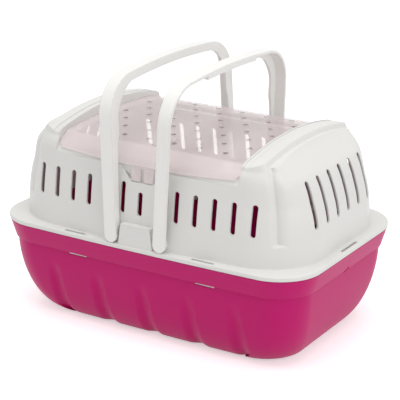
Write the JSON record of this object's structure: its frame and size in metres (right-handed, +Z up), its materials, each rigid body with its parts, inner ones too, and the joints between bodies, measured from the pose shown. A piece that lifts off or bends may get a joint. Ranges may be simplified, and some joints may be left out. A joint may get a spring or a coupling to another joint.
{
  "type": "pet carrier",
  "caption": "Small-animal carrier: deep tub, slotted vented top shell, clear hinged lid with latch tab, and folding bail handles that meet over the lid.",
  "frame": {"origin": "centre of the footprint, on the surface the tub stands on", "axes": "+X along the length, -Y towards the front with the latch tab, +Z up"},
  "size_m": [0.4, 0.2558, 0.3024],
  "materials": {
    "tub_pink": "smooth satin, slightly translucent",
    "shell_white": "smooth satin",
    "lid_clear": "clear moulded plastic",
    "handle_white": "smooth satin"
  },
  "bodies": {
    "carrier": {"base_tub": "tub_pink", "top_shell": "shell_white"},
    "lid": {"lid": "lid_clear"},
    "handle_left": {"handle_left": "handle_white"},
    "handle_right": {"handle_right": "handle_white"}
  },
  "joints": [
    {"name": "lid_hinge", "type": "hinge", "parent": "carrier", "child": "lid", "pos_m": [0, 0.1045, 0.2055], "axis": [-1, 0, 0], "range_deg": [0, 16]},
    {"name": "handle_left_fold", "type": "hinge", "parent": "carrier", "child": "handle_left", "pos_m": [-0.0315, 0, 0.125], "axis": [0, -1, 0], "range_deg": [-9.5, 87]},
    {"name": "handle_right_fold", "type": "hinge", "parent": "carrier", "child": "handle_right", "pos_m": [0.0315, 0, 0.125], "axis": [0, 1, 0], "range_deg": [-9.5, 87]}
  ]
}
